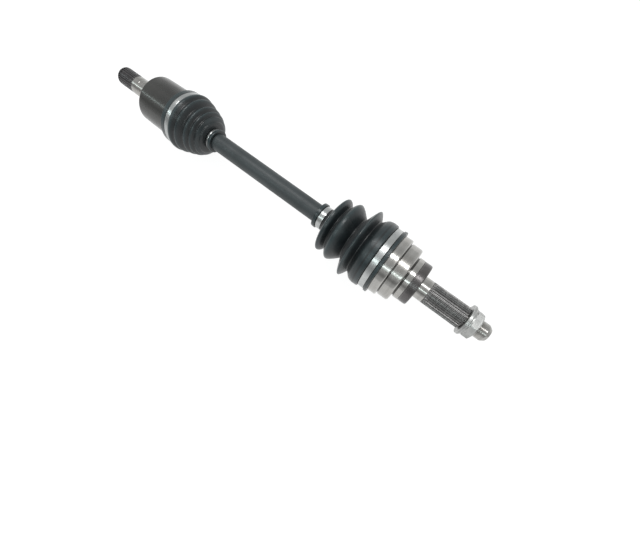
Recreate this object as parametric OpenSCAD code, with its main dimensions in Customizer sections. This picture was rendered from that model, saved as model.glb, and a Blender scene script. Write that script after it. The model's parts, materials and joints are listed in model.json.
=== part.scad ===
// Front-wheel-drive axle: a fixed ball joint at the wheel end, a plunging tripod joint
// at the gearbox end and a solid shaft between them, each joint under a pleated boot.
// The spin axis is X, with +X towards the wheel. The origin is halfway along the axle.

/* [Axle] */
// Length over both stubs
axle_l = 614; // [600:1:660]
// Distance from the origin to the centre of the ball joint
ball_joint_x = 170.5; // [165:0.5:176]
// Distance from the origin to the centre of the tripod
tripod_x = 203; // [198:0.5:212]
// Diameter of the shaft between the boots
shaft_d = 24; // [22:0.5:25]

/* [Ball joint] */
// Ball diameter
ball_d = 15.88; // [15:0.01:16]
// Radius of the circle through the ball centres
ball_pitch_r = 26; // [25.8:0.1:26.2]
// Side room of each ball in its grooves
groove_room = 1.5; // [1.4:0.05:1.6]
// Outer radius of the cage
cage_r = 28.5; // [28.2:0.1:28.8]
// Radius of the bell behind the boot
bell_r = 39.3; // [39:0.1:40.5]
// Radius of the bell's second step
bell_step_r = 36.4; // [36:0.1:37]
// Radius of the bell's boss
bell_boss_r = 28.1; // [27:0.1:29]

/* [Wheel stub] */
// Radius of the plain neck that pilots the hub
neck_r = 14.4; // [14.1:0.1:14.8]
// Number of spline teeth
hub_teeth = 26; // [22:1:30]
// Length of the hub spline
hub_spline_l = 49.3; // [44:0.1:52]
// Nominal thread diameter
thread_d = 22; // [21:1:22]
// Width of the hub nut across its flats
nut_flats = 32; // [30:1:34]
// Radius of the hub washer
washer_r = 19.6; // [17:0.1:20]

/* [Tripod joint] */
// Radius of the spherical roller
roller_r = 14; // [13.8:0.05:14]
// Distance from the axle's axis to each roller's centre
roller_pitch_r = 19; // [18.8:0.1:19.2]
// Width of a roller
roller_w = 9; // [8:0.5:9]
// Radius of a trunnion
trunnion_r = 7.5; // [7.2:0.1:7.6]
// Needles round each trunnion
needles = 22; // [18:1:22]
// Radius of the housing at its rear
housing_r = 32.7; // [32:0.1:34]

/* [Gearbox stub] */
// Radius of the plain seal journal
journal_r = 13; // [12.6:0.1:14]
// Number of spline teeth
gearbox_teeth = 24; // [20:1:28]

/* [Boots] */
// Wall of each boot, measured outwards from the axis
boot_wall = 2.4; // [1.8:0.1:2.6]
// Thickness of the clamp bands
band_t = 1.1; // [0.8:0.1:1.2]

/* [Hidden] */

$fn = 96;
eps = 0.5;
foot = 0.35;      // how far spline teeth reach into the shaft's root cylinder
free_gap = 0.3;   // gap between faces of pieces that move apart
fit_gap = 0.05;   // radial gap of a running fit
shaft_r = shaft_d / 2;
ball_r = ball_d / 2;
thread_r = thread_d / 2;

// Ball joint, along X from its own centre
bell_mouth = -20.5;
bell_seat_r = bell_r - 0.7;
bell_seat_end = -2.3;
bell_a_end = 8.5;
bell_b_start = 9.8;
bell_b_end = 23.7;
boss_start = 25.2;
boss_end = 32.7;
ring_end = 43.6;
ring_seat_r = 20;
neck_end = 56.1;
hub_spline_end = neck_end + hub_spline_l;
stub_end = axle_l / 2 - ball_joint_x;
washer_at = hub_spline_end + 0.6;
washer_t = 4.4;
nut_at = washer_at + washer_t;
nut_t = 11;
hub_tip_r = neck_r - 0.05;
hub_root_r = hub_tip_r - 1.25;
groove_r = ball_r + groove_room;
groove_start = -80;      // degrees from the plane of the balls, towards the shaft
groove_stop = 46;        // degrees, towards the wheel
mouth_cone_r = 15.3;     // radius of the 45 degree mouth cone, carried back to the centre
race_half_l = 11;
race_r = 22.5;
race_bore_r = 10.3;
cage_bore_r = race_r + free_gap;
cage_half_l = 14;
ball_azimuth = 30;       // of ball 1, so that balls 2 and 5 lie on the Y axis

// Tripod joint, along X from its own centre
stub_tip = tripod_x - axle_l / 2;
journal_start = -73;
housing_rear = -37.5;
housing_shoulder = -30.4; // the rear cone ends and the rounded corner starts
housing_corner_r = 2;
housing_seat_start = 19.5;
housing_seat_r = 35.8;
housing_mouth = 36;
cavity_bottom = -28;
cavity_r = 19;
lobe_r = roller_r + 1;
lobe_flat = 27;          // distance from the axis to the flat floor of each lobe
flare_start = 9.5;
flare_end_r = 27.2;
keeper_at = 33.2;
keeper_r = 27.1;
keeper_wire = 0.9;
hub_r = 14;
hub_half_l = 11.5;
trunnion_end = 25;
needle_r = 1.2;
needle_pitch_r = trunnion_r + needle_r + 0.03;
roller_bore_r = needle_pitch_r + needle_r + 0.03;
retainer_t = 0.9;
gearbox_tip_r = journal_r - 0.2;
gearbox_root_r = gearbox_tip_r - 1.0;
clip_groove_at = stub_tip + 2.6;
clip_groove_w = 1.6;

// Shaft ends
spider_fit_r = 9.85;
race_fit_r = race_bore_r - fit_gap;
inner_neck_r = 10.5;
outer_neck_r = 10.8;
clip_t = 1.1;

// Boots: [place along X from the joint's centre, outer radius]
outer_small_end = [-107.5, -102.4, -94.6];
outer_small_r = 14;
outer_large_end = [-15, -7.2, -2.6];
outer_large_r = bell_seat_r + free_gap + 1.4;
outer_folds = [
    [-91, 17.4], [-88.9, 24.5], [-86.8, 32], [-83.6, 36.9], [-75.6, 30.3],
    [-69.6, 38.6], [-67, 39.3], [-52, 28.8], [-44.6, 43.3], [-42.6, 46.2],
    [-41.2, 44.9], [-35.6, 37], [-27.4, 43.4], [-16.2, 43.8]
];
inner_small_end = [83.8, 80, 88.3];
inner_small_r = 14;
inner_large_end = [21.5, 29, 35.2];
inner_large_r = housing_seat_r + free_gap + 1.4;
inner_folds = [
    [36, 39.9], [39, 40.4], [44, 37.3], [48.5, 38.2], [54, 32.2],
    [60, 34.4], [64.3, 30.6], [68, 31.6], [71, 27.6], [74, 27.7],
    [76.3, 23.4], [78, 22.4], [79.6, 15]
];

steel = [0.62, 0.63, 0.63];
dark_steel = [0.29, 0.3, 0.3];
paint = [0.25, 0.3, 0.3];
rubber = [0.08, 0.1, 0.1];
zinc = [0.78, 0.8, 0.8];

// A solid of revolution about X from [radius, x] points
module turned(points) {
    rotate([0, 90, 0]) rotate_extrude() polygon(points);
}

// A plain ring about X
module ring(at, length, inside, outside) {
    turned([[inside, at], [outside, at], [outside, at + length], [inside, at + length]]);
}

// A split ring of rectangular section about X
module snap_ring(at, thick, inside, outside, opening = 30) {
    translate([at, 0, 0]) rotate([0, 90, 0]) rotate([0, 0, opening / 2])
        rotate_extrude(angle = 360 - opening) translate([inside, 0]) square([outside - inside, thick]);
}

// Outline of a spline shaft with straight-sided teeth, whose feet are sunk in the root cylinder
function spline_outline(tip_r, root_r, teeth) = [
    for (k = [0:teeth - 1], c = [[root_r - foot, -0.34], [tip_r, -0.15], [tip_r, 0.15], [root_r - foot, 0.34]])
        c[0] * [cos(360 * (k + c[1]) / teeth), sin(360 * (k + c[1]) / teeth)]
];

// A toothed length of shaft along X
module spline(at, length, tip_r, root_r, teeth) {
    translate([at, 0, 0]) rotate([0, 90, 0])
        linear_extrude(length) polygon(spline_outline(tip_r, root_r, teeth));
}

// One ball groove: a torus sector about the joint's centre, in the plane of X and the azimuth
module ball_groove(azimuth) {
    rotate([azimuth, 0, 0]) rotate([90, 0, 0]) rotate([0, 0, 90 - groove_stop])
        rotate_extrude(angle = groove_stop - groove_start) translate([ball_pitch_r, 0]) circle(groove_r);
}

// A sphere with its poles on the X axis
module ball_shape(r) {
    rotate([0, 90, 0]) sphere(r);
}

// Boot wall between two outlines that share their places along X
module boot(outline) {
    turned(concat(
        [for (p = outline) [p[1], p[0]]],
        [for (k = [len(outline) - 1:-1:0]) [outline[k][2], outline[k][0]]]
    ));
}

// Folds as [place, outer radius, inner radius]
function walled(folds) = [for (p = folds) [p[0], p[1], p[1] - boot_wall]];

// A clamp band with its crimped ear, turned to a given azimuth
module ear_clamp(from, to, inside, ear_azimuth) {
    ear_w = min(to - from - 1, 7);
    ring(from, to - from, inside, inside + band_t);
    rotate([ear_azimuth, 0, 0]) translate([(from + to) / 2, 0, inside + band_t / 2 + 1.4])
        cube([ear_w, 6, 2.8], center = true);
}

module at_ball_joint() {
    translate([ball_joint_x, 0, 0]) children();
}

module at_tripod() {
    translate([-tripod_x, 0, 0]) children();
}

module axle_shaft() {
    left = -tripod_x;
    right = ball_joint_x;
    clip_r = spider_fit_r - 0.9;
    race_clip_r = race_fit_r - 1;
    spider_root = spider_fit_r - 0.6;
    race_root = race_fit_r - 0.6;
    clip_in = hub_half_l + 0.3;
    clip_out = clip_in + clip_t + 0.1;
    race_clip = race_half_l + 0.3;
    color(paint) {
        turned([
            [0, left - clip_out - 1.6], [spider_root - 0.8, left - clip_out - 1.6],
            [spider_root, left - clip_out - 0.8], [spider_root, left - clip_out],
            [clip_r, left - clip_out], [clip_r, left - clip_in],
            [spider_root, left - clip_in], [spider_root, left + clip_in],
            [clip_r, left + clip_in], [clip_r, left + clip_out],
            [spider_root, left + clip_out], [inner_neck_r, left + clip_out + 2],
            [inner_neck_r, left + 62], [shaft_r, left + 68],
            [shaft_r, right - 55], [outer_neck_r, right - 49],
            [outer_neck_r, right - race_half_l - 2.5], [race_root, right - race_half_l - 1.5],
            [race_root, right + race_clip], [race_clip_r, right + race_clip],
            [race_clip_r, right + race_clip + clip_t + 0.1], [race_root, right + race_clip + clip_t + 0.1],
            [race_root, right + race_clip + 1.8], [race_root - 0.8, right + race_clip + 2.4],
            [0, right + race_clip + 2.4]
        ]);
        spline(left - clip_in, 2 * clip_in, spider_fit_r, spider_root, 22);
        spline(right - race_half_l - 1.5, 2 * race_half_l + 1.8, race_fit_r, race_root, 22);
    }
}

module outer_bell() {
    at_ball_joint() color(steel) difference() {
        union() {
            turned([
                [0, bell_mouth], [bell_seat_r - 1, bell_mouth], [bell_seat_r, bell_mouth + 1],
                [bell_seat_r, bell_seat_end], [bell_r, bell_seat_end],
                [bell_r, bell_a_end - 1.4], [bell_r - 1, bell_a_end],
                [bell_step_r - 1.2, bell_a_end], [bell_step_r - 1.2, bell_b_start],
                [bell_step_r, bell_b_start], [bell_step_r, bell_b_end - 2],
                [bell_step_r - 1.8, bell_b_end], [bell_boss_r + 1.2, boss_start - 0.6],
                [bell_boss_r, boss_start], [bell_boss_r, boss_end],
                [ring_seat_r, boss_end], [ring_seat_r, ring_end - 1],
                [neck_r + 1, ring_end - 1], [neck_r, ring_end], [neck_r, neck_end],
                [hub_root_r, neck_end + 0.8], [hub_root_r, hub_spline_end],
                [thread_r, hub_spline_end], [thread_r, stub_end - 4.5],
                [thread_r - 3.2, stub_end], [0, stub_end]
            ]);
            spline(neck_end - eps, hub_spline_l, hub_tip_r, hub_root_r, hub_teeth);
        }
        ball_shape(cage_r + free_gap);
        translate([bell_mouth - eps, 0, 0]) rotate([0, 90, 0])
            cylinder(h = 16, r1 = mouth_cone_r - bell_mouth + eps, r2 = mouth_cone_r - bell_mouth + eps - 16);
        for (k = [0:5]) ball_groove(ball_azimuth + 60 * k);
    }
}

module dust_ring() {
    corner = 2.4;
    r = bell_boss_r - 0.3;
    bore_r = ring_seat_r + fit_gap;
    left = boss_end + fit_gap;
    at_ball_joint() color(dark_steel) turned(concat(
        [[bore_r, left], [r - 0.6, left], [r, left + 0.6]],
        [for (a = [0:15:90]) [r - corner + corner * cos(a), ring_end - corner + corner * sin(a)]],
        [[bore_r + 1, ring_end], [bore_r, ring_end - 1]]
    ));
}

module outer_inner_race() {
    at_ball_joint() color(dark_steel) difference() {
        intersection() {
            ball_shape(race_r);
            translate([-race_half_l, 0, 0]) rotate([0, 90, 0]) cylinder(h = 2 * race_half_l, r = race_r + 1);
        }
        translate([-race_half_l - 1, 0, 0]) rotate([0, 90, 0]) cylinder(h = 2 * race_half_l + 2, r = race_bore_r);
        for (k = [0:5]) ball_groove(ball_azimuth + 60 * k);
    }
}

module outer_race_circlip() {
    at_ball_joint() color(zinc)
        snap_ring(race_half_l + 0.35, clip_t, race_fit_r - 0.95, race_fit_r + 1.2);
}

module outer_cage() {
    window_w = ball_d + 0.1;
    window_l = 18.5;
    at_ball_joint() color(dark_steel) difference() {
        intersection() {
            ball_shape(cage_r);
            translate([-cage_half_l, 0, 0]) rotate([0, 90, 0]) cylinder(h = 2 * cage_half_l, r = cage_r + 1);
        }
        ball_shape(cage_bore_r);
        for (k = [0:5]) rotate([ball_azimuth + 60 * k, 0, 0])
            translate([0, 0, cage_r]) cube([window_w, window_l, cage_r], center = true);
    }
}

module outer_ball(number) {
    at_ball_joint() color(zinc) rotate([ball_azimuth + 60 * (number - 1), 0, 0])
        translate([0, 0, ball_pitch_r]) sphere(ball_r);
}

module outer_boot() {
    small_bore = shaft_r + free_gap;
    large_bore = bell_seat_r + free_gap;
    at_ball_joint() color(rubber) boot(concat(
        [[outer_small_end[0], 16.4, small_bore], [outer_small_end[0] + 1.2, 16.8, small_bore],
         [outer_small_end[1] - 0.2, 16.4, small_bore], [outer_small_end[1], outer_small_r, small_bore],
         [outer_small_end[2], outer_small_r, small_bore]],
        walled(outer_folds),
        [[outer_large_end[0] - 0.8, outer_large_r + 2.6, large_bore + 1],
         [outer_large_end[0] - 0.4, outer_large_r, large_bore],
         [outer_large_end[1] + 0.4, outer_large_r, large_bore],
         [outer_large_end[1] + 0.6, 43.2, large_bore], [outer_large_end[2] - 0.8, 43.5, large_bore],
         [outer_large_end[2], 42.8, large_bore]]
    ));
}

module outer_boot_large_clamp() {
    at_ball_joint() color(steel)
        ear_clamp(outer_large_end[0], outer_large_end[1], outer_large_r + free_gap, 180);
}

module outer_boot_small_clamp() {
    at_ball_joint() color(steel)
        ear_clamp(outer_small_end[1] + 0.3, outer_small_end[2] - 0.3, outer_small_r + free_gap, 180);
}

module hub_washer() {
    at_ball_joint() color(zinc) turned([
        [thread_r + free_gap, washer_at], [washer_r - 0.6, washer_at], [washer_r, washer_at + 0.6],
        [washer_r, washer_at + washer_t - 1.2], [washer_r - 0.9, washer_at + washer_t],
        [thread_r + free_gap, washer_at + washer_t]
    ]);
}

module hub_nut() {
    collar = 2;
    corner_r = nut_flats / 2 / cos(30);
    bore_r = thread_r + fit_gap;
    at_ball_joint() color(zinc) difference() {
        union() {
            ring(nut_at, collar, bore_r - 1, nut_flats / 2 + 1.2);
            intersection() {
                translate([nut_at, 0, 0]) rotate([0, 90, 0]) cylinder(h = nut_t, r = corner_r, $fn = 6);
                turned([
                    [0, nut_at], [corner_r + 0.5, nut_at], [corner_r + 0.5, nut_at + nut_t - 1.6],
                    [nut_flats / 2 - 0.8, nut_at + nut_t], [0, nut_at + nut_t]
                ]);
            }
        }
        translate([nut_at - 1, 0, 0]) rotate([0, 90, 0]) cylinder(h = nut_t + 2, r = bore_r);
    }
}

module inner_housing() {
    corner_r = housing_corner_r;
    at_tripod() color(dark_steel) difference() {
        union() {
            turned(concat(
                [[0, stub_tip], [gearbox_root_r - 1.6, stub_tip], [gearbox_root_r, stub_tip + 1.8],
                 [gearbox_root_r, clip_groove_at], [gearbox_root_r - 0.9, clip_groove_at],
                 [gearbox_root_r - 0.9, clip_groove_at + clip_groove_w],
                 [gearbox_root_r, clip_groove_at + clip_groove_w], [gearbox_root_r, journal_start],
                 [journal_r, journal_start], [journal_r, housing_rear - 2],
                 [journal_r + 2, housing_rear]],
                [for (a = [15:15:90]) [
                    housing_r - corner_r + corner_r * sin(a),
                    housing_shoulder + corner_r * (1 - cos(a))
                ]],
                [[housing_r + 0.9, 2], [housing_r + 1.1, housing_seat_start],
                 [housing_seat_r, housing_seat_start + 1], [housing_seat_r, housing_mouth],
                 [0, housing_mouth]]
            ));
            intersection() {
                spline(clip_groove_at + clip_groove_w, journal_start - clip_groove_at - clip_groove_w + eps,
                    gearbox_tip_r, gearbox_root_r, gearbox_teeth);
                ring(stub_tip, journal_start - stub_tip + 2, 0, gearbox_tip_r + 1);
            }
            spline(stub_tip + 1.4, clip_groove_at - stub_tip - 1.4, gearbox_tip_r - 0.6, gearbox_root_r, gearbox_teeth);
        }
        translate([cavity_bottom, 0, 0]) rotate([0, 90, 0])
            cylinder(h = housing_mouth - cavity_bottom + 1, r = cavity_r);
        translate([flare_start, 0, 0]) rotate([0, 90, 0])
            cylinder(h = housing_mouth - flare_start, r1 = cavity_r, r2 = flare_end_r);
        for (k = [0:2]) rotate([120 * k, 0, 0]) roller_lobe();
        translate([keeper_at, 0, 0]) rotate([0, 90, 0])
            rotate_extrude() translate([keeper_r, 0]) circle(keeper_wire + 0.1);
    }
}

// The guideway of the roller on the +Z trunnion: round flanks and a flat floor
module roller_lobe() {
    length = housing_mouth - cavity_bottom + 1;
    intersection() {
        translate([cavity_bottom, 0, roller_pitch_r]) rotate([0, 90, 0]) cylinder(h = length, r = lobe_r);
        translate([cavity_bottom - 1, -lobe_r - 1, 0]) cube([length + 2, 2 * lobe_r + 2, lobe_flat]);
    }
}

module stub_circlip() {
    at_tripod() color(zinc)
        snap_ring(clip_groove_at + 0.15, clip_groove_w - 0.3, gearbox_root_r - 0.85, gearbox_tip_r - 0.1, 24);
}

module mouth_retaining_ring() {
    at_tripod() color(steel) translate([keeper_at, 0, 0]) rotate([0, 90, 0]) rotate([0, 0, 8])
        rotate_extrude(angle = 344) translate([keeper_r, 0]) circle(keeper_wire, $fn = 32);
}

module tripod_spider() {
    at_tripod() color(steel) difference() {
        union() {
            ring(-hub_half_l, 2 * hub_half_l, spider_fit_r, hub_r);
            for (k = [0:2]) rotate([120 * k, 0, 0])
                translate([0, 0, hub_r - 3]) cylinder(h = trunnion_end - hub_r + 3, r = trunnion_r);
        }
        translate([-hub_half_l - 1, 0, 0]) rotate([0, 90, 0])
            cylinder(h = 2 * hub_half_l + 2, r = spider_fit_r + fit_gap);
        for (k = [0:2]) rotate([120 * k, 0, 0])
            translate([0, 0, roller_pitch_r + roller_w / 2 + 0.1]) difference() {
                cylinder(h = retainer_t + 0.1, r = trunnion_r + 1);
                translate([0, 0, -1]) cylinder(h = retainer_t + 2, r = trunnion_r - 0.6);
            }
    }
}

module spider_circlip(at) {
    at_tripod() color(zinc) snap_ring(at, clip_t, spider_fit_r - 0.85, spider_fit_r + 1.5);
}

module tripod_roller(number) {
    at_tripod() color(steel) rotate([120 * (number - 1), 0, 0]) translate([0, 0, roller_pitch_r])
        difference() {
            intersection() {
                sphere(roller_r);
                cylinder(h = roller_w, r = roller_r + 1, center = true);
            }
            cylinder(h = roller_w + 2, r = roller_bore_r, center = true);
        }
}

module needle_set(number) {
    length = roller_w - 0.6;
    at_tripod() color(zinc) rotate([120 * (number - 1), 0, 0]) translate([0, 0, roller_pitch_r])
        for (k = [0:needles - 1]) rotate([0, 0, 360 * k / needles])
            translate([needle_pitch_r, 0, 0]) cylinder(h = length, r = needle_r, center = true);
}

module roller_retainer(number) {
    at_tripod() color(zinc) rotate([120 * (number - 1), 0, 0])
        translate([0, 0, roller_pitch_r + roller_w / 2 + 0.15]) difference() {
            cylinder(h = retainer_t, r = roller_bore_r - 0.4);
            translate([0, 0, -1]) cylinder(h = retainer_t + 2, r = trunnion_r - 0.55);
        }
}

module inner_boot() {
    small_bore = shaft_r + free_gap;
    large_bore = housing_seat_r + free_gap;
    at_tripod() color(rubber) boot(concat(
        [[inner_large_end[0], 38, large_bore], [inner_large_end[0] + 0.8, 38.7, large_bore],
         [inner_large_end[1] - 0.6, 38.7, large_bore], [inner_large_end[1] - 0.4, inner_large_r, large_bore],
         [inner_large_end[2] + 0.3, inner_large_r, large_bore],
         [inner_large_end[2] + 0.5, 39, large_bore]],
        walled(inner_folds),
        [[inner_small_end[1], inner_small_r, small_bore], [inner_small_end[0], inner_small_r, small_bore],
         [inner_small_end[0] + 0.3, 16, small_bore], [inner_small_end[2] - 0.8, 16.4, small_bore],
         [inner_small_end[2], 15.8, small_bore]]
    ));
}

module inner_boot_large_clamp() {
    at_tripod() color(steel)
        ear_clamp(inner_large_end[1], inner_large_end[2], inner_large_r + free_gap, 180);
}

module inner_boot_small_clamp() {
    at_tripod() color(steel)
        ear_clamp(inner_small_end[1] + 0.3, inner_small_end[0] - 0.3, inner_small_r + free_gap, 180);
}

axle_shaft();
outer_bell();
dust_ring();
outer_inner_race();
outer_race_circlip();
outer_cage();
outer_ball(1);  // outer_ball_1
outer_ball(2);  // outer_ball_2
outer_ball(3);  // outer_ball_3
outer_ball(4);  // outer_ball_4
outer_ball(5);  // outer_ball_5
outer_ball(6);  // outer_ball_6
outer_boot();
outer_boot_large_clamp();
outer_boot_small_clamp();
hub_washer();
hub_nut();
inner_housing();
stub_circlip();
mouth_retaining_ring();
tripod_spider();
spider_circlip(-hub_half_l - 0.35 - clip_t);  // spider_end_circlip
spider_circlip(hub_half_l + 0.35);  // spider_shaft_circlip
tripod_roller(1);  // tripod_roller_1
tripod_roller(2);  // tripod_roller_2
tripod_roller(3);  // tripod_roller_3
needle_set(1);  // needle_set_1
needle_set(2);  // needle_set_2
needle_set(3);  // needle_set_3
roller_retainer(1);  // roller_retainer_1
roller_retainer(2);  // roller_retainer_2
roller_retainer(3);  // roller_retainer_3
inner_boot();
inner_boot_large_clamp();
inner_boot_small_clamp();
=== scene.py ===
import json
import math

import bmesh
import bpy
import numpy as np
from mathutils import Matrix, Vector


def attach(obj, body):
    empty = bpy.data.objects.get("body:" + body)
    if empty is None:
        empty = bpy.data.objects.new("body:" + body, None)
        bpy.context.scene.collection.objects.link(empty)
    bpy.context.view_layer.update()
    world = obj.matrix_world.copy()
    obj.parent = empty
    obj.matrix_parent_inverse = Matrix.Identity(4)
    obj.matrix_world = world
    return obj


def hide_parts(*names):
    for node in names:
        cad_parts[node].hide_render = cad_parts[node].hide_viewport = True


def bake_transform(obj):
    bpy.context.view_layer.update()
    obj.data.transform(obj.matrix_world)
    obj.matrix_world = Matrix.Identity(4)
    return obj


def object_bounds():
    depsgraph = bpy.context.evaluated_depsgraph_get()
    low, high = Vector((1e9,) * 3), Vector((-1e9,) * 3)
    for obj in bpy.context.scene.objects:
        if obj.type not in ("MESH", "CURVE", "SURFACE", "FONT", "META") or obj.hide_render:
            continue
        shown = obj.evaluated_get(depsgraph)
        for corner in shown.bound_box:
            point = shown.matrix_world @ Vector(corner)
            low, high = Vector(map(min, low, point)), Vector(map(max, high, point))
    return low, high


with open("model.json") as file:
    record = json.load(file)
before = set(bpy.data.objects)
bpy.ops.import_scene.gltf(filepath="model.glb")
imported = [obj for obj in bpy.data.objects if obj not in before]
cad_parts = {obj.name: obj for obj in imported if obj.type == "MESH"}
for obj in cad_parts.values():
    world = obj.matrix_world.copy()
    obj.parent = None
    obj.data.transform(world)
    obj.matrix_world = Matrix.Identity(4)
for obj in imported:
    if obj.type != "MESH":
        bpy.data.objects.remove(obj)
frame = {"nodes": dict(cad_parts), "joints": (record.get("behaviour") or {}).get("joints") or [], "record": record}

CAD_BOX = [list(corner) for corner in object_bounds()]
MM = 0.001

# Joint centres along X, in millimetres. Every profile below is measured from one of them.
PIVOTS = {j["name"]: j.get("pos_m") for j in frame["joints"]}
BALL_X = PIVOTS["outer_steer_shaft_side"][0] / MM
TRIPOD_X = PIVOTS["inner_steer"][0] / MM


# ---------------------------------------------------------------- materials

class Surface:
    """A procedural material on the Principled shader."""

    def __init__(self, name, **constants):
        self.material = bpy.data.materials.new(name)
        self.material.use_nodes = True
        self.tree = self.material.node_tree
        self.shader = self.tree.nodes["Principled BSDF"]
        for socket, value in constants.items():
            self.shader.inputs[socket.replace("_", " ")].default_value = value
        self.place = self.add("ShaderNodeTexCoord").outputs["Object"]

    def add(self, kind, inputs=None, **settings):
        node = self.tree.nodes.new(kind)
        for key, value in settings.items():
            setattr(node, key, value)
        for key, value in (inputs or {}).items():
            self.put(node.inputs[key], value)
        return node

    def put(self, socket, value):
        if isinstance(value, bpy.types.NodeSocket):
            self.tree.links.new(value, socket)
        else:
            socket.default_value = value

    def noise(self, scale, detail=4.0, stretch=(1, 1, 1), roughness=0.55):
        """Noise with so many features a metre, stretched along the axes."""
        mapped = self.add("ShaderNodeMapping", {"Vector": self.place, "Scale": stretch}).outputs[0]
        return self.add("ShaderNodeTexNoise", {
            "Vector": mapped, "Scale": scale, "Detail": detail, "Roughness": roughness,
        }).outputs[0]

    def spread(self, value, low, high, from_low=0.3, from_high=0.7):
        return self.add("ShaderNodeMapRange", {
            "Value": value, "From Min": from_low, "From Max": from_high, "To Min": low, "To Max": high,
        }).outputs[0]

    def mix(self, factor, a, b):
        node = self.add("ShaderNodeMix", data_type="RGBA")
        for key, value in ((0, factor), (6, a), (7, b)):
            self.put(node.inputs[key], value)
        return node.outputs[2]

    def math(self, operation, a, b=0.0):
        return self.add("ShaderNodeMath", {0: a, 1: b}, operation=operation).outputs[0]

    def attribute(self, name):
        return self.add("ShaderNodeAttribute", attribute_name=name).outputs["Fac"]

    def bumps(self, *layers):
        """Bump layers as (height, distance in mm, strength), one over another."""
        normal = None
        for height, distance, strength in layers:
            inputs = {"Height": height, "Distance": distance * MM, "Strength": strength}
            if normal is not None:
                inputs["Normal"] = normal
            normal = self.add("ShaderNodeBump", inputs).outputs[0]
        self.put(self.shader.inputs["Normal"], normal)

    def set(self, socket, value):
        self.put(self.shader.inputs[socket], value)


def rgb(red, green, blue):
    """Linear colour from 0 to 255 display values."""
    def linear(value):
        value /= 255
        return value / 12.92 if value <= 0.04045 else ((value + 0.055) / 1.055) ** 2.4
    return (linear(red), linear(green), linear(blue), 1.0)


def turned_metal(name, light, dark, shine, line=0.5, grain=0.35, tarnish=None):
    """Metal turned on a lathe: rings of fine lines about X, faint stains, bright edges and painted shade darkening
    its grooves.
    """
    s = Surface(name, Metallic=1.0)
    lines = s.noise(1.0, 3.0, (2600, 14, 14))
    bands = s.noise(1.0, 2.0, (260, 9, 9))
    stains = s.noise(45.0, 5.0)
    base = s.mix(s.spread(bands, 0.0, 1.0, 0.35, 0.65), light, dark)
    if tarnish:
        base = s.mix(s.spread(stains, 0.0, 0.6, 0.52, 0.75), base, tarnish)
    base = s.mix(s.math("MULTIPLY", s.attribute("edge"), 0.5), base, rgb(225, 224, 221))
    # painted shade: the deeper a groove, the more its colour is darkened towards rgb(58, 57, 56), in place of the
    # shade that falls into it
    painted_groove_shade = s.math("MULTIPLY", s.attribute("groove"), 0.85)
    s.set("Base Color", s.mix(painted_groove_shade, base, rgb(58, 57, 56)))
    rough = s.math("ADD", s.spread(stains, shine, shine + 0.10), s.spread(lines, -0.04, 0.05))
    s.set("Roughness", rough)
    s.bumps((lines, 0.008, line), (stains, 0.02, grain * 0.2))
    return s.material


def coated_metal(name, light, dark, worn, shine, grain=0.5, lines=0.3, metallic=0.0):
    """Steel under a thin dark coat, with a forged or turned skin below it and rubbed edges."""
    s = Surface(name, Metallic=metallic, Specular_IOR_Level=0.55)
    cloud = s.noise(38.0, 6.0)
    speck = s.noise(900.0, 2.0)
    along = s.noise(1.0, 3.0, (700, 20, 20))
    drag = s.noise(1.0, 4.0, (18, 420, 420))
    base = s.mix(s.spread(cloud, 0.0, 1.0), light, dark)
    base = s.mix(s.spread(speck, 0.0, 0.35, 0.6, 0.8), base, worn)
    rubbed = s.math("MULTIPLY", s.attribute("edge"), s.spread(drag, 0.1, 0.9))
    base = s.mix(rubbed, base, worn)
    s.set("Base Color", base)
    rough = s.math("ADD", s.spread(cloud, shine, shine + 0.12), s.spread(speck, -0.04, 0.05))
    s.set("Roughness", rough)
    s.bumps((cloud, 0.25, grain * 0.5), (along, 0.03, lines), (speck, 0.03, grain))
    return s.material


def boot_rubber():
    """Moulded black rubber: glossy crests painted lighter teal, partly as rubbed wear and partly as a painted
    highlight, dusty flanks and a parting line.
    """
    s = Surface("boot_rubber", Specular_IOR_Level=0.5, Sheen_Weight=0.08, Sheen_Roughness=0.4)
    dust = s.noise(60.0, 6.0)
    skin = s.noise(1500.0, 3.0)
    flow = s.noise(1.0, 4.0, (420, 60, 60))
    crest = s.attribute("crest")
    base = s.mix(s.spread(dust, 0.0, 1.0), rgb(4, 9, 11), rgb(10, 17, 20))
    # crests painted lighter teal: partly rubbed wear, partly a painted highlight along the fold tops
    base = s.mix(s.math("MULTIPLY", crest, s.spread(dust, 0.35, 0.85)), base, rgb(40, 55, 58))
    s.set("Base Color", base)
    rough = s.math("ADD", s.spread(dust, 0.32, 0.46), s.math("MULTIPLY", crest, -0.06))
    s.set("Roughness", rough)
    across = s.add("ShaderNodeSeparateXYZ", {0: s.place}).outputs["Y"]
    seam = s.math("LESS_THAN", s.math("ABSOLUTE", across), 0.25 * MM)
    s.bumps((flow, 0.05, 0.35), (skin, 0.03, 0.45), (seam, 0.2, 0.6))
    return s.material


def bright_band():
    """Rolled stainless strip with lengthwise drawing lines."""
    s = Surface("clamp_steel", Metallic=1.0)
    drawn = s.noise(1.0, 3.0, (3200, 25, 25))
    smear = s.noise(70.0, 5.0)
    s.set("Base Color", s.mix(s.spread(smear, 0.0, 1.0), rgb(186, 188, 187), rgb(160, 163, 163)))
    s.set("Roughness", s.math("ADD", s.spread(smear, 0.2, 0.34), s.spread(drawn, -0.03, 0.04)))
    s.bumps((drawn, 0.012, 0.5), (smear, 0.12, 0.3))
    return s.material


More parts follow.
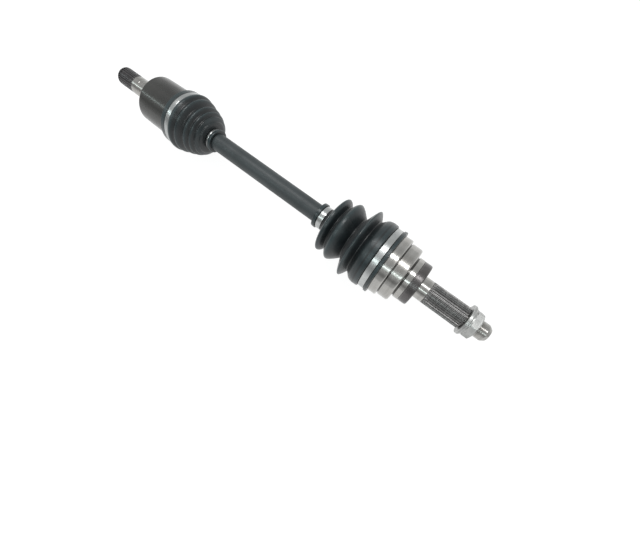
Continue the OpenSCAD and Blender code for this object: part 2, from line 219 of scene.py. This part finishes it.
def zinc_plate():
    """Passivated zinc: pale, slightly clouded and sparkling where the plate has grown."""
    s = Surface("zinc", Metallic=0.85)
    cloud = s.noise(90.0, 5.0)
    grain = s.noise(2200.0, 2.0)
    base = s.mix(s.spread(cloud, 0.0, 1.0), rgb(172, 173, 171), rgb(146, 147, 146))
    s.set("Base Color", s.mix(s.math("MULTIPLY", s.attribute("edge"), 0.5), base, rgb(225, 226, 223)))
    s.set("Roughness", s.math("ADD", s.spread(cloud, 0.3, 0.42), s.spread(grain, -0.04, 0.05)))
    s.bumps((grain, 0.02, 0.45), (cloud, 0.06, 0.3))
    return s.material


MATERIALS = {
    "shaft_paint": coated_metal("shaft_paint", rgb(46, 53, 55), rgb(36, 43, 45), rgb(62, 70, 71),
                                shine=0.42, grain=0.6, lines=0.2),
    "machined_steel": turned_metal("machined_steel", rgb(168, 167, 164), rgb(156, 155, 152),
                                   shine=0.13, tarnish=rgb(148, 144, 139)),
    "dark_ring": coated_metal("dark_ring", rgb(98, 96, 96), rgb(80, 78, 78), rgb(130, 128, 127),
                              shine=0.22, grain=0.3, lines=0.5, metallic=0.9),
    "housing_coat": coated_metal("housing_coat", rgb(72, 72, 70), rgb(60, 60, 59), rgb(100, 101, 99),
                                 shine=0.15, grain=0.2, lines=0.3, metallic=0.55),
    "boot_rubber": boot_rubber(),
    "clamp_steel": bright_band(),
    "zinc": zinc_plate(),
    "bearing_steel": turned_metal("bearing_steel", rgb(214, 215, 217), rgb(202, 204, 206),
                                 shine=0.08, line=0.15, grain=0.1),
    "race_steel": turned_metal("race_steel", rgb(128, 127, 126), rgb(105, 104, 104),
                              shine=0.36, line=0.12, grain=0.3),
    "spring_steel": turned_metal("spring_steel", rgb(104, 102, 102), rgb(84, 83, 85),
                                shine=0.3, line=0.4, grain=0.4),
}


# ---------------------------------------------------------------- mesh code

def rounded(points, fillet=0.3, steps=5):
    """A line of (x, r[, size]) points with each inner corner rounded off by its size."""
    line = [np.array(points[0][:2], float)]
    for before, here, after in zip(points, points[1:], points[2:]):
        size = here[2] if len(here) > 2 else fillet
        corner = np.array(here[:2], float)
        back = np.array(before[:2], float) - corner
        ahead = np.array(after[:2], float) - corner
        back_l, ahead_l = np.linalg.norm(back), np.linalg.norm(ahead)
        start = corner + back / back_l * min(size, 0.48 * back_l)
        end = corner + ahead / ahead_l * min(size, 0.48 * ahead_l)
        for t in np.linspace(0, 1, steps):
            line.append((1 - t) ** 2 * start + 2 * t * (1 - t) * corner + t * t * end)
    line.append(np.array(points[-1][:2], float))
    return np.array(line)


def divided(line, step):
    """The same line with no gap longer than step."""
    out = [line[0]]
    for a, b in zip(line, line[1:]):
        parts = max(1, math.ceil(np.linalg.norm(b - a) / step))
        out += [a + (b - a) * k / parts for k in range(1, parts + 1)]
    return np.array(out)


FULL_WEAR_CURVATURE = 1.2   # radians a millimetre
GROOVE_REACH = 2.2          # how far to either side a groove's banks are looked for
FULL_GROOVE_DEPTH = 0.9


def edge_wear(line, closed):
    """How sharply a profile turns outwards at each station, from 0 to 1."""
    before = np.roll(line, 1, axis=0)
    after = np.roll(line, -1, axis=0)
    if not closed:
        before[0], after[-1] = line[0], line[-1]
    a, b = line - before, after - line
    turn = np.arctan2(a[:, 0] * b[:, 1] - a[:, 1] * b[:, 0], (a * b).sum(1))
    span = np.linalg.norm(a, axis=1) + np.linalg.norm(b, axis=1)
    return np.clip(-turn / np.maximum(span, 0.05) / FULL_WEAR_CURVATURE, 0, 1)


def groove_depth(line):
    """How far each station lies below the profile on both of its sides, from 0 to 1."""
    x, r = line[:, 0], line[:, 1]
    depth = []
    for k in range(len(line)):
        near = np.abs(x - x[k]) < GROOVE_REACH
        left, right = r[near & (x <= x[k])], r[near & (x >= x[k])]
        depth.append(min(left.max(), right.max()) - r[k])
    return np.clip(np.array(depth) / FULL_GROOVE_DEPTH, 0, 1)


def new_piece(name, verts, faces, slot, body=None, sharp=32, attributes=None):
    """A mesh piece in metres from millimetre vertices, shaded smooth with sharp corners."""
    mesh = bpy.data.meshes.new(name)
    mesh.from_pydata((np.asarray(verts) * MM).tolist(), [], [list(map(int, f)) for f in faces])
    for key, values in (attributes or {}).items():
        layer = mesh.attributes.new(key, "FLOAT", "POINT")
        layer.data.foreach_set("value", np.asarray(values, np.float32))
    mesh.polygons.foreach_set("use_smooth", [True] * len(mesh.polygons))
    mesh.materials.append(MATERIALS[slot])
    piece = bpy.data.objects.new(name, mesh)
    bpy.context.scene.collection.objects.link(piece)
    work = bmesh.new()
    work.from_mesh(mesh)
    bmesh.ops.remove_doubles(work, verts=work.verts, dist=1e-7)
    bmesh.ops.recalc_face_normals(work, faces=work.faces)
    work.to_mesh(mesh)
    work.free()
    mesh.set_sharp_from_angle(angle=math.radians(sharp))
    if body:
        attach(piece, body)
    return piece


def revolve(name, line, centre, slot, body=None, segments=160, closed=False, reshape=None,
            sharp=32, crest=None):
    """A turned piece about X, from a line of (x, r) measured from centre.

    reshape(x, r, angle) changes the radius."""
    angle = np.linspace(0, 2 * math.pi, segments, endpoint=False)[None, :]
    x = line[:, 0][:, None] + 0 * angle
    r = line[:, 1][:, None] + 0 * angle
    if reshape:
        r = reshape(x, r, angle + 0 * x)
    verts = np.stack([x + centre, r * np.cos(angle), r * np.sin(angle)], axis=2).reshape(-1, 3)
    rows = len(line)
    faces = []
    for i in range(rows if closed else rows - 1):
        j = (i + 1) % rows
        for k in range(segments):
            n = (k + 1) % segments
            faces.append((i * segments + k, j * segments + k, j * segments + n, i * segments + n))
    edge = np.repeat(edge_wear(line, closed), segments)
    # groove depth, which the turned metals use to paint shade into grooves
    extra = {"edge": edge, "groove": np.repeat(groove_depth(line), segments)}
    if crest is not None:
        extra["crest"] = np.repeat(crest, segments)
    return new_piece(name, verts, faces, slot, body, sharp, extra)


def toothed(tip, root, teeth, start=None, run_out=0.0):
    """Cuts spline teeth down to the root, fading in over run_out after start."""
    def reshape(x, r, angle):
        phase = (angle * teeth / (2 * math.pi)) % 1.0
        land = np.clip(2.3 * (0.5 - np.abs(2 * phase - 1)) + 0.5, 0, 1)
        land = land * land * (3 - 2 * land)
        limit = root + (tip - root) * land
        if run_out:
            rise = np.clip(1 - (x - start) / run_out, 0, 1)
            limit = limit + (tip - limit) * rise ** 2
        return np.minimum(r, limit)
    return reshape


# ---------------------------------------------------------------- wheel side

CAGE_ROOM_R = 28.8
MOUTH_X = -20.5
CONE_R = 15.3
BALL_PITCH_R = 26.0
GROOVE_R = 9.44
GROOVE_STOP = math.radians(46)
GROOVE_TRIALS = np.arange(16, 36.5, 0.1)   # radii tested against a ball groove's round section


def cavity_line():
    """The bell's cavity: a sphere for the cage, opening into a 45 degree mouth."""
    meet = (CONE_R - math.sqrt(2 * CAGE_ROOM_R ** 2 - CONE_R ** 2)) / 2
    turn = math.acos(meet / CAGE_ROOM_R)
    sphere = [(CAGE_ROOM_R * math.cos(a), CAGE_ROOM_R * math.sin(a)) for a in np.linspace(0, turn, 26)]
    cone = [(x, CONE_R - x) for x in np.linspace(meet, MOUTH_X, 8)[1:]]
    return sphere + cone


def ball_grooves(inner_rows):
    """Widens the cavity where the six ball grooves run."""
    def reshape(x, r, angle):
        off = (angle + math.pi / 6) % (math.pi / 3) - math.pi / 6
        out = r.copy()
        x, off = x[:inner_rows, :, None], off[:inner_rows, :, None]
        tried = GROOVE_TRIALS[None, None, :]
        inline = tried * np.cos(off)
        inside = (np.hypot(x, inline) - BALL_PITCH_R) ** 2 + (tried * np.sin(off)) ** 2 <= GROOVE_R ** 2
        inside &= x <= inline * math.tan(GROOVE_STOP)
        out[:inner_rows] = np.maximum(out[:inner_rows], (inside * tried).max(2))
        out[0] = 0
        return out
    return reshape


inside = cavity_line()
outside = rounded([
    (MOUTH_X, 35.8), (MOUTH_X, 38.6, 0.9), (-2.3, 38.6, 0.1), (-2.3, 39.3, 0.35), (8.5, 39.3, 1.9),
    (8.5, 35.0, 0.25), (9.9, 35.0, 0.25), (9.9, 36.4, 0.4), (23.7, 36.4, 2.8), (24.3, 29.6, 0.7),
    (24.5, 26.9, 0.3), (25.9, 26.9, 0.3), (26.1, 28.1, 0.4), (32.7, 28.1, 0.35),
    (32.7, 20, 0.1), (42.4, 20, 0.2), (42.4, 15.6, 0.3), (43.4, 14.4, 0.6), (55.2, 14.4, 0.4),
    (56.1, 13.6, 0.3), (56.1, 0),
])
bell = revolve("bell_body", np.vstack([inside, outside]), BALL_X, "machined_steel", "bell_assembly",
               segments=192, reshape=ball_grooves(len(inside)))
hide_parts("outer_bell")

RING_R = 27.8
ring_line = rounded([
    (32.8, 20.1), (32.8, RING_R, 0.7), (34.0, RING_R, 0.2), (34.4, RING_R - 0.25, 0.2),
    (34.8, RING_R, 0.2), (43.6, RING_R, 2.9), (43.6, 24.5, 0.4), (43.2, 24.0, 0.4), (43.2, 21.6, 0.4),
    (43.6, 21.1, 0.4), (43.6, 20.1),
])
ring = revolve("dust_shield", ring_line, BALL_X, "dark_ring", "bell_assembly", closed=True)
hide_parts("dust_ring")

HUB_SPLINE = (55.9, 105.4)
HUB_TIP, HUB_ROOT, HUB_TEETH = 14.35, 13.0, 26
spline_line = divided(rounded([
    (HUB_SPLINE[0], 0), (HUB_SPLINE[0], HUB_TIP, 0.2), (HUB_SPLINE[1] - 1.2, HUB_TIP, 0.5),
    (HUB_SPLINE[1], HUB_ROOT, 0.3), (HUB_SPLINE[1], 0),
]), 2.0)
revolve("hub_spline", spline_line, BALL_X, "race_steel", "bell_assembly", segments=HUB_TEETH * 14,
        reshape=toothed(HUB_TIP, HUB_ROOT, HUB_TEETH, HUB_SPLINE[0], 3.0), sharp=45)

STUB_END = 136.5
PITCH = 1.5
THREAD_R = 11.0
THREAD_DEPTH = 0.4


def threaded(start, stop):
    """A metric thread's flanks, fading out at both ends."""
    def reshape(x, r, angle):
        phase = (x / PITCH - angle / (2 * math.pi)) % 1.0
        flank = np.clip(np.abs(2 * phase - 1) * 1.25 - 0.12, 0, 1)
        fade = np.clip(np.minimum(x - start, stop - x) / 0.8, 0, 1)
        return np.minimum(r, THREAD_R - THREAD_DEPTH * flank * fade)
    return reshape


thread_line = rounded([
    (105.0, 0), (105.0, 10.9, 0.2), (106.0, THREAD_R, 0.2), (STUB_END - 4.5, THREAD_R, 1.5),
    (STUB_END, 7.9, 0.8), (STUB_END, 3.0, 0.2), (STUB_END - 4.2, 0),
])
revolve("stub_thread", divided(thread_line, PITCH / 8), BALL_X, "machined_steel", "bell_assembly",
        segments=96, reshape=threaded(106.5, STUB_END - 2.0), sharp=50)

washer_line = rounded([
    (106.05, 11.4, 0.2), (106.05, 19.6, 0.7), (109.2, 19.6, 0.5), (110.35, 18.4, 0.5),
    (110.35, 11.4, 0.2),
    (108, 11.3),
])
washer = revolve("washer", washer_line, BALL_X, "zinc", "washer_body", closed=True)
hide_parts("hub_washer")

NUT_AT, NUT_T, NUT_FLATS, COLLAR = 110.42, 11.0, 32.0, 2.0
NUT_CORNER = NUT_FLATS / 2 / math.cos(math.pi / 6)
CORNER_BLUNT = 0.2


def hexagon(x, r, angle):
    """Cuts the six flats beyond the collar, with their corners just blunted."""
    off = angle % (math.pi / 3) - math.pi / 6
    flats = np.minimum(NUT_FLATS / 2 / np.cos(off), NUT_CORNER - CORNER_BLUNT)
    flats = np.where(x > NUT_AT + COLLAR - 0.05, flats, r + 1)
    return np.minimum(r, flats)


nut_line = rounded([
    (NUT_AT, 11.6, 0.2), (NUT_AT, 17.2, 0.5), (NUT_AT + COLLAR - 0.1, 17.2, 0.4),
    (NUT_AT + COLLAR, 17.0, 0.05), (NUT_AT + COLLAR + 0.05, 18.9, 0.02),
    (NUT_AT + NUT_T - 2.1, 18.9, 0.1),
    (NUT_AT + NUT_T, 15.0, 0.3), (NUT_AT + NUT_T, 12.2, 0.2), (NUT_AT + NUT_T - 1.0, 11.1, 0.2),
    (NUT_AT + 0.8, 11.1, 0.1),
])
nut = revolve("nut", divided(nut_line, 0.5), BALL_X, "zinc", "nut_body", segments=288, closed=True,
              reshape=hexagon, sharp=24)
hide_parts("hub_nut")


# ---------------------------------------------------------------- gearbox side

LOBE_R, LOBE_AT, LOBE_FLAT = 15.0, 19.0, 27.0


def roller_lobes(inner_rows):
    """Widens the housing's cavity where the three rollers run."""
    def reshape(x, r, angle):
        third = 2 * math.pi / 3
        off = (angle - math.pi / 2 + third / 2) % third - third / 2
        under = LOBE_R ** 2 - (LOBE_AT * np.sin(off)) ** 2
        lobe = np.where(under > 0, LOBE_AT * np.cos(off) + np.sqrt(np.maximum(under, 0)), 0)
        lobe = np.minimum(lobe, LOBE_FLAT / np.maximum(np.cos(off), 0.3))
        out = r.copy()
        out[1:inner_rows] = np.maximum(r[1:inner_rows], lobe[1:inner_rows])
        return out
    return reshape


inside = np.array([(-28, 0), (-28, 19)] + [(x, 19.0) for x in np.linspace(-24, 9.5, 8)]
                  + [(x, 19 + (x - 9.5) * 8.2 / 26.5) for x in np.linspace(9.5, 36, 12)[1:]])
outside = rounded([
    (36, 27.2), (36, 35.8, 0.8), (20.2, 35.8, 0.4), (19.6, 33.9, 0.4), (2, 33.6, 3), (-10, 33.3, 3),
    (-30.0, 32.7, 2.0), (-37.4, 15.4, 0.8), (-39.0, 14.2, 0.4), (-39.6, 13.05, 0.2), (-39.6, 0),
], steps=7)
housing = revolve("housing_shell", np.vstack([inside, outside]), TRIPOD_X, "housing_coat",
                  "housing_assembly", segments=180, reshape=roller_lobes(len(inside)))
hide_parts("inner_housing")

journal_line = rounded([
    (-39.4, 0), (-39.4, 14.2, 0.2), (-40.3, 13.2, 0.9), (-41.9, 13, 0.6), (-56.0, 13, 0.1),
    (-56.2, 12.86, 0.1), (-62.0, 12.86, 0.1), (-62.2, 13, 0.1), (-72.0, 13, 0.3),
    (-73.2, 12.2, 0.3), (-73.2, 0),
])
revolve("stub_journal", divided(journal_line, 2.0), TRIPOD_X, "machined_steel", "housing_assembly")

BOX_TIP, BOX_ROOT, BOX_TEETH = 12.8, 11.6, 24
STUB_TIP = -104.0
box_line = divided(rounded([
    (STUB_TIP + 4.2, 0), (STUB_TIP, 3.0, 0.2), (STUB_TIP, 10.6, 0.5), (STUB_TIP + 1.6, 12.2, 0.4),
    (STUB_TIP + 2.5, 12.2, 0.1), (STUB_TIP + 2.6, 10.85, 0.1), (STUB_TIP + 4.2, 10.85, 0.1),
    (STUB_TIP + 4.3, BOX_TIP, 0.2), (-73.0, BOX_TIP, 0.1), (-73.0, 0),
]), 2.0)


def box_teeth(x, r, angle):
    """Cuts the stub's teeth, fading out over the last 3 mm before the journal."""
    cut = toothed(BOX_TIP, BOX_ROOT, BOX_TEETH)(x, r, angle)
    rise = np.clip((x + 76) / 3, 0, 1) ** 2
    return cut + (np.minimum(r, BOX_TIP) - cut) * rise


revolve("gearbox_spline", box_line, TRIPOD_X, "spring_steel", "housing_assembly",
        segments=BOX_TEETH * 14, reshape=box_teeth, sharp=45)


# ---------------------------------------------------------------- clamps

STRIP_BLUNT = 0.18      # length over which a strip's cut edge is rounded
STRIP_THINNING = 0.35   # share of the thickness lost at that edge


def strip(name, path, thickness, x_from, x_to, slot, body, azimuth, radius, centre):
    """A bent metal strip: a (tangent, height) path with thickness, swept along X at an azimuth."""
    path = rounded(path, 0.9, 6)
    ahead = np.gradient(path, axis=0)
    ahead /= np.linalg.norm(ahead, axis=1)[:, None]
    normal = np.stack([-ahead[:, 1], ahead[:, 0]], axis=1)
    loop = np.vstack([path, (path - normal * thickness)[::-1]])
    core = (loop[:len(path)] + loop[len(path):][::-1]) / 2
    core = np.vstack([core, core[::-1]])
    sections = []
    for x, thinned in ((x_from, 1), (x_from + STRIP_BLUNT, 0), (x_to - STRIP_BLUNT, 0), (x_to, 1)):
        squeezed = loop + (core - loop) * STRIP_THINNING * thinned
        turn = squeezed[:, 0] / radius
        r = radius + squeezed[:, 1]
        sections.append(np.stack([np.full(len(loop), x + centre), r * np.cos(azimuth + turn),
                                  r * np.sin(azimuth + turn)], axis=1))
    verts = np.vstack(sections)
    n = len(loop)
    faces = []
    for i in range(len(sections) - 1):
        for k in range(n):
            m = (k + 1) % n
            faces.append((i * n + k, (i + 1) * n + k, (i + 1) * n + m, i * n + m))
    half = len(path)
    for base, flip in ((0, False), ((len(sections) - 1) * n, True)):
        for k in range(half - 1):
            quad = (base + k, base + k + 1, base + n - 2 - k, base + n - 1 - k)
            faces.append(quad[::-1] if flip else quad)
    return new_piece(name, verts, faces, slot, body, 40, {"edge": np.zeros(len(verts))})


CLAMP_THICK = 1.1
EAR_STRIP_THICK = 0.8
EAR_AZIMUTH = math.radians(270)    # straight down
TAIL_LAP = math.radians(46)
TAIL_SHARE = 0.72                  # the tail's width as a share of the ear's
EAR = [(-7.5, 0.55), (-5.0, 0.6), (-3.4, 0.75), (-2.2, 1.5), (-3.0, 2.4), (-1.8, 3.1), (0, 3.2),
       (1.8, 3.1), (3.0, 2.4), (2.2, 1.5), (3.4, 0.75), (5.0, 0.6), (7.5, 0.55)]


def ear_clamp(prefix, node, centre, x_from, x_to, inside_r, body):
    """A crimped ear clamp: a band with rounded edges, its lapped tail and the pinched ear."""
    top = inside_r + CLAMP_THICK
    band = rounded([
        (x_from, inside_r + 0.3, 0.3), (x_from, top, 0.45), (x_to, top, 0.45), (x_to, inside_r, 0.3),
        (x_from, inside_r, 0.3), (x_from, inside_r + 0.25),
    ], 0.3, 5)[:-1]
    clamp = revolve(prefix + "_band", band, centre, "clamp_steel", body, segments=192, closed=True)
    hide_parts(node)
    middle = (x_from + x_to) / 2
    ear_w = min(x_to - x_from - 1, 7)
    tail = [(top * a, 0.72) for a in np.linspace(0.09, TAIL_LAP, 16)]
    for part, path, width in (("_ear", EAR, ear_w), ("_tail", tail, ear_w * TAIL_SHARE)):
        strip(prefix + part, path, EAR_STRIP_THICK, middle - width / 2, middle + width / 2,
              "clamp_steel", body, EAR_AZIMUTH, top, centre)


ear_clamp("wheel_large_clamp", "outer_boot_large_clamp", BALL_X, -15.0, -7.2, 40.65, "bell_assembly")
ear_clamp("wheel_small_clamp", "outer_boot_small_clamp", BALL_X, -102.1, -94.9, 14.25, "shaft_assembly")
ear_clamp("gearbox_large_clamp", "inner_boot_large_clamp", TRIPOD_X, 29.0, 35.2, 37.85,
          "housing_assembly")
ear_clamp("gearbox_small_clamp", "inner_boot_small_clamp", TRIPOD_X, 80.3, 83.5, 14.25, "shaft_assembly")


# ---------------------------------------------------------------- boots

STEP = 0.8
WALL = 2.4
TUCK = np.array([0, 0.04])     # the overlap's drop below the next piece at a seam
FOLD_REACH = 5                 # how far to either side a fold's crest and valley are looked for


def boot_pieces(prefix, node, centre, profile, bores, zones):
    """One boot in pieces that meet at seams.

    bores is (small radius up to x, large radius from x, as [(x, r), (x, r)]), and each zone is
    (name, piece from, piece to, first body, second body, bend from, bend to)."""
    outer = divided(rounded(profile, 1.0, 9), STEP)
    seams = [z[1] for z in zones[1:]]
    for seam in seams:
        k = int(np.searchsorted(outer[:, 0], seam))
        r = np.interp(seam, outer[k - 1:k + 1, 0], outer[k - 1:k + 1, 1])
        outer = np.insert(outer, k, [seam, r], axis=0)
    grid = np.unique(np.round(np.concatenate([
        np.arange(outer[0, 0], outer[-1, 0], STEP), [outer[-1, 0]], seams,
    ]), 4))
    order = outer[:, 0] + np.arange(len(outer)) * 1e-7
    inner_r = np.interp(grid, order, outer[:, 1]) - WALL
    inner_r = np.convolve(np.pad(inner_r, 2, "edge"), np.ones(5) / 5, "valid")
    (bore_x0, bore_r0), (bore_x1, bore_r1) = bores
    inner_r = np.where(grid <= bore_x0, bore_r0, np.where(grid >= bore_x1, bore_r1, inner_r))
    inner_r = np.maximum(inner_r, min(bore_r0, bore_r1))
    inner = np.stack([grid, inner_r], axis=1)
    nearby = [outer[np.abs(outer[:, 0] - x) < FOLD_REACH, 1] for x in outer[:, 0]]
    low = np.array([r.min() for r in nearby])
    high = np.array([r.max() for r in nearby])
    # how near each station lies to its fold's top; the boot rubber paints the tops lighter with it, partly as a
    # painted highlight
    height = np.clip((outer[:, 1] - low) / np.maximum(high - low, 1.5), 0, 1) ** 3
    for name, start, stop, body_a, body_b, bend_from, bend_to in zones:
        keep = (outer[:, 0] >= start - 1e-6) & (outer[:, 0] <= stop + 1e-6)
        ids = np.nonzero(keep)[0]
        line, shine = outer[ids], height[ids]
        keep_in = (grid >= start - 1e-6) & (grid <= stop + 1e-6)
        back = inner[keep_in]
        if start in seams:
            line = np.vstack([outer[ids[0] - 1] - TUCK, line])
            shine = np.insert(shine, 0, shine[0])
            back = np.vstack([inner[np.nonzero(keep_in)[0][0] - 1] + TUCK, back])
        if stop in seams:
            line = np.vstack([line, outer[ids[-1] + 1] - TUCK])
            shine = np.append(shine, shine[-1])
            back = np.vstack([back, inner[np.nonzero(keep_in)[0][-1] + 1] + TUCK])
        loop = np.vstack([line, back[::-1]])
        crest = np.concatenate([shine, np.zeros(len(back))])
        piece = revolve(f"{prefix}_{name}", loop, centre, "boot_rubber", segments=176, closed=True,
                        sharp=60, crest=crest)
        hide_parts(node)
        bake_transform(piece)


wheel_boot = [
    (-107.5, 12.35, 0.2), (-107.5, 16.7, 0.9), (-102.5, 16.9, 0.9), (-102.3, 14.1, 0.4),
    (-94.7, 14.1, 0.4),
    (-94.3, 15.2, 0.6), (-91.0, 16.8, 1.2), (-88.9, 24.5, 2.6), (-87.0, 31.5, 3), (-84.3, 38.0, 3.2),
    (-80.6, 36.2, 2.4), (-75.8, 28.9, 2.2), (-70.6, 38.4, 3.2),
    (-67, 40.5, 3.2), (-61.2, 36.6, 4), (-52, 27.9, 2.2), (-45.4, 42.6, 3), (-42.7, 47.4, 2.2),
    (-40.2, 44.3, 2.6), (-35.6, 35.8, 2.2), (-28.8, 42.8, 3), (-23, 44.2, 3),
    (-15.9, 43.7, 1.4), (-15.4, 40.4, 0.5), (-6.8, 40.4, 0.4), (-6.6, 43.2, 0.7),
    (-2.7, 43.6, 0.9), (-2.6, 39.0, 0.2),
]
boot_pieces("wheel_boot", "outer_boot", BALL_X, wheel_boot, [(-93.5, 12.3), (-21.5, 38.9)], [
    ("small_end", -107.5, -45.2, "shaft_assembly", "ball_pair", -75, -45.2),
    ("waist", -45.2, -40.2, "ball_pair", "cage_assembly", -45.2, -40.2),
    ("shoulder", -40.2, -35.6, "cage_assembly", "outer_boot_body", -40.2, -35.6),
    ("large_end", -35.6, -2.6, "outer_boot_body", "bell_assembly", -35.6, -16),
])

gearbox_boot = [
    (21.5, 36.2, 0.3), (21.5, 38.5, 0.7), (28.6, 38.8, 0.7), (28.8, 37.6, 0.3), (35.4, 37.6, 0.3),
    (35.6, 39.4, 0.5), (37.4, 40.6, 1.2), (40, 40.6, 1.4), (44.2, 36.7, 1.6), (48.4, 39.0, 1.9),
    (54.0, 31.2, 1.8), (58.0, 33.6, 1.6), (60.4, 35.0, 1.8), (64.2, 29.6, 1.6), (67.8, 32.3, 1.8),
    (71, 26.6, 1.5), (73.8, 28.4, 1.6),
    (76.2, 22.8, 1.2), (77.8, 23.0, 1.2), (79.0, 20, 1.2), (79.6, 14.6, 0.6), (79.9, 14.1, 0.2),
    (83.8, 14.1, 0.3),
    (84.1, 16.0, 0.5), (87.8, 16.2, 0.8), (88.3, 12.4, 0.2),
]
boot_pieces("gearbox_boot", "inner_boot", TRIPOD_X, gearbox_boot, [(35.9, 36.1), (79.2, 12.3)], [
    ("large_end", 21.5, 54, "housing_assembly", "inner_boot_body", 36.5, 54),
    ("waist", 54, 71, "inner_boot_body", "needle_body", 54, 71),
    ("small_end", 71, 88.3, "needle_body", "shaft_assembly", 71, 79.5),
])


# ---------------------------------------------------------------- the CAD pieces that stay

slots = {part["node"]: part.get("material_slot") for part in frame["record"]["subparts"]}
for node, obj in frame["nodes"].items():
    material = MATERIALS[slots[node]]
    if not obj.material_slots:
        obj.data.materials.append(material)
    for own in obj.material_slots:
        own.material = material


# ---------------------------------------------------------------- floor, light and camera

def stage_material():
    """White studio paper that glows enough to stay plain white under the axle."""
    s = Surface("studio_paper", Roughness=0.9, Specular_IOR_Level=0.1, Emission_Strength=0.93)
    paper = s.mix(s.spread(s.noise(6.0, 3.0), 0.0, 1.0), (0.14, 0.14, 0.14, 1), (0.13, 0.132, 0.132, 1))
    s.set("Base Color", paper)
    s.set("Emission Color", (1, 1, 1, 1))
    return s.material


FLOOR_SIZE = 12.0
FLOOR_GAP = 0.0004
floor_mesh = bpy.data.meshes.new("floor")
half = FLOOR_SIZE / 2
floor_z = CAD_BOX[0][2] - FLOOR_GAP
corners = ((-half, -half), (half, -half), (half, half), (-half, half))
floor_mesh.from_pydata([(x, y, floor_z) for x, y in corners], [], [(0, 1, 2, 3)])
floor_mesh.materials.append(stage_material())
floor = bpy.data.objects.new("floor", floor_mesh)
bpy.context.scene.collection.objects.link(floor)


def studio_world():
    """A white room whose brightness changes round X, and that looks plain white behind the floor.

    The stops are (degrees from straight up, towards -Y; brightness)."""
    world = bpy.data.worlds.new("studio")
    bpy.context.scene.world = world
    world.use_nodes = True
    tree = world.node_tree
    background = tree.nodes["Background"]
    coord = tree.nodes.new("ShaderNodeTexCoord")
    parts = tree.nodes.new("ShaderNodeSeparateXYZ")
    tree.links.new(coord.outputs["Generated"], parts.inputs[0])
    turn = tree.nodes.new("ShaderNodeMath")
    turn.operation = "ARCTAN2"
    flip = tree.nodes.new("ShaderNodeMath")
    flip.operation = "MULTIPLY"
    flip.inputs[1].default_value = -1
    tree.links.new(parts.outputs["Y"], flip.inputs[0])
    tree.links.new(flip.outputs[0], turn.inputs[0])
    tree.links.new(parts.outputs["Z"], turn.inputs[1])
    scaled = tree.nodes.new("ShaderNodeMapRange")
    scaled.inputs["From Min"].default_value = -math.pi
    scaled.inputs["From Max"].default_value = math.pi
    tree.links.new(turn.outputs[0], scaled.inputs["Value"])
    ramp = tree.nodes.new("ShaderNodeValToRGB")
    tree.links.new(scaled.outputs[0], ramp.inputs[0])
    stops = [(-110, 0.85), (-62, 0.8), (-46, 0.64), (-30, 0.62), (-22, 0.72), (20, 0.64),
             (40, 0.68), (56, 0.6), (63, 0.3), (70, 0.3), (77, 0.64), (110, 0.72)]
    elements = ramp.color_ramp.elements
    while len(elements) > 1:
        elements.remove(elements[-1])
    for k, (degrees, level) in enumerate(stops):
        at = (degrees + 180) / 360
        element = elements[0] if k == 0 else elements.new(at)
        element.position = at
        element.color = (level, level * 1.01, level * 1.01, 1)
    seen = tree.nodes.new("ShaderNodeLightPath")
    plain = tree.nodes.new("ShaderNodeMix")
    plain.data_type = "RGBA"
    plain.inputs[7].default_value = (1, 1, 1, 1)
    tree.links.new(seen.outputs["Is Camera Ray"], plain.inputs[0])
    tree.links.new(ramp.outputs[0], plain.inputs[6])
    tree.links.new(plain.outputs[2], background.inputs["Color"])
    background.inputs["Strength"].default_value = 1.0


def softbox(name, place, target, size, power, colour=(1, 1, 1)):
    """A soft rectangular lamp at place, turned to face target."""
    light = bpy.data.lights.new(name, "AREA")
    light.shape = "RECTANGLE"
    light.size, light.size_y = size
    light.energy = power
    light.color = colour
    lamp = bpy.data.objects.new(name, light)
    lamp.location = place
    lamp.rotation_euler = (Vector(target) - Vector(place)).to_track_quat("-Z", "Y").to_euler()
    bpy.context.scene.collection.objects.link(lamp)


LAMP_DISTANCE = 1.6


def turned_by(degrees):
    """A lamp's place over the axle, tilted from straight up towards -Y."""
    a = math.radians(degrees)
    return (0, -LAMP_DISTANCE * math.sin(a), LAMP_DISTANCE * math.cos(a))


studio_world()
softbox("overhead", turned_by(-8.5), (0, 0, 0), (2.4, 0.24), 18)
softbox("front", turned_by(38), (0, 0, 0), (5.6, 0.12), 11, (0.86, 1, 0.99))

CAMERA_AT = (0.1905, -0.1576, 0.3879)
AZIMUTH, ELEVATION = math.radians(38.6), math.radians(71.3)
LENS, SENSOR = 19.125, 36
camera = bpy.data.cameras.new("camera")
camera.lens = LENS
camera.sensor_width = SENSOR
camera.clip_start = 0.01
viewer = bpy.data.objects.new("camera", camera)
viewer.location = CAMERA_AT
level = math.cos(ELEVATION)
back = Vector((math.sin(AZIMUTH) * level, -math.cos(AZIMUTH) * level, math.sin(ELEVATION)))
viewer.rotation_euler = (-back).to_track_quat("-Z", "Y").to_euler()
bpy.context.scene.collection.objects.link(viewer)
bpy.context.scene.camera = viewer
bpy.context.scene.view_settings.view_transform = "Standard"
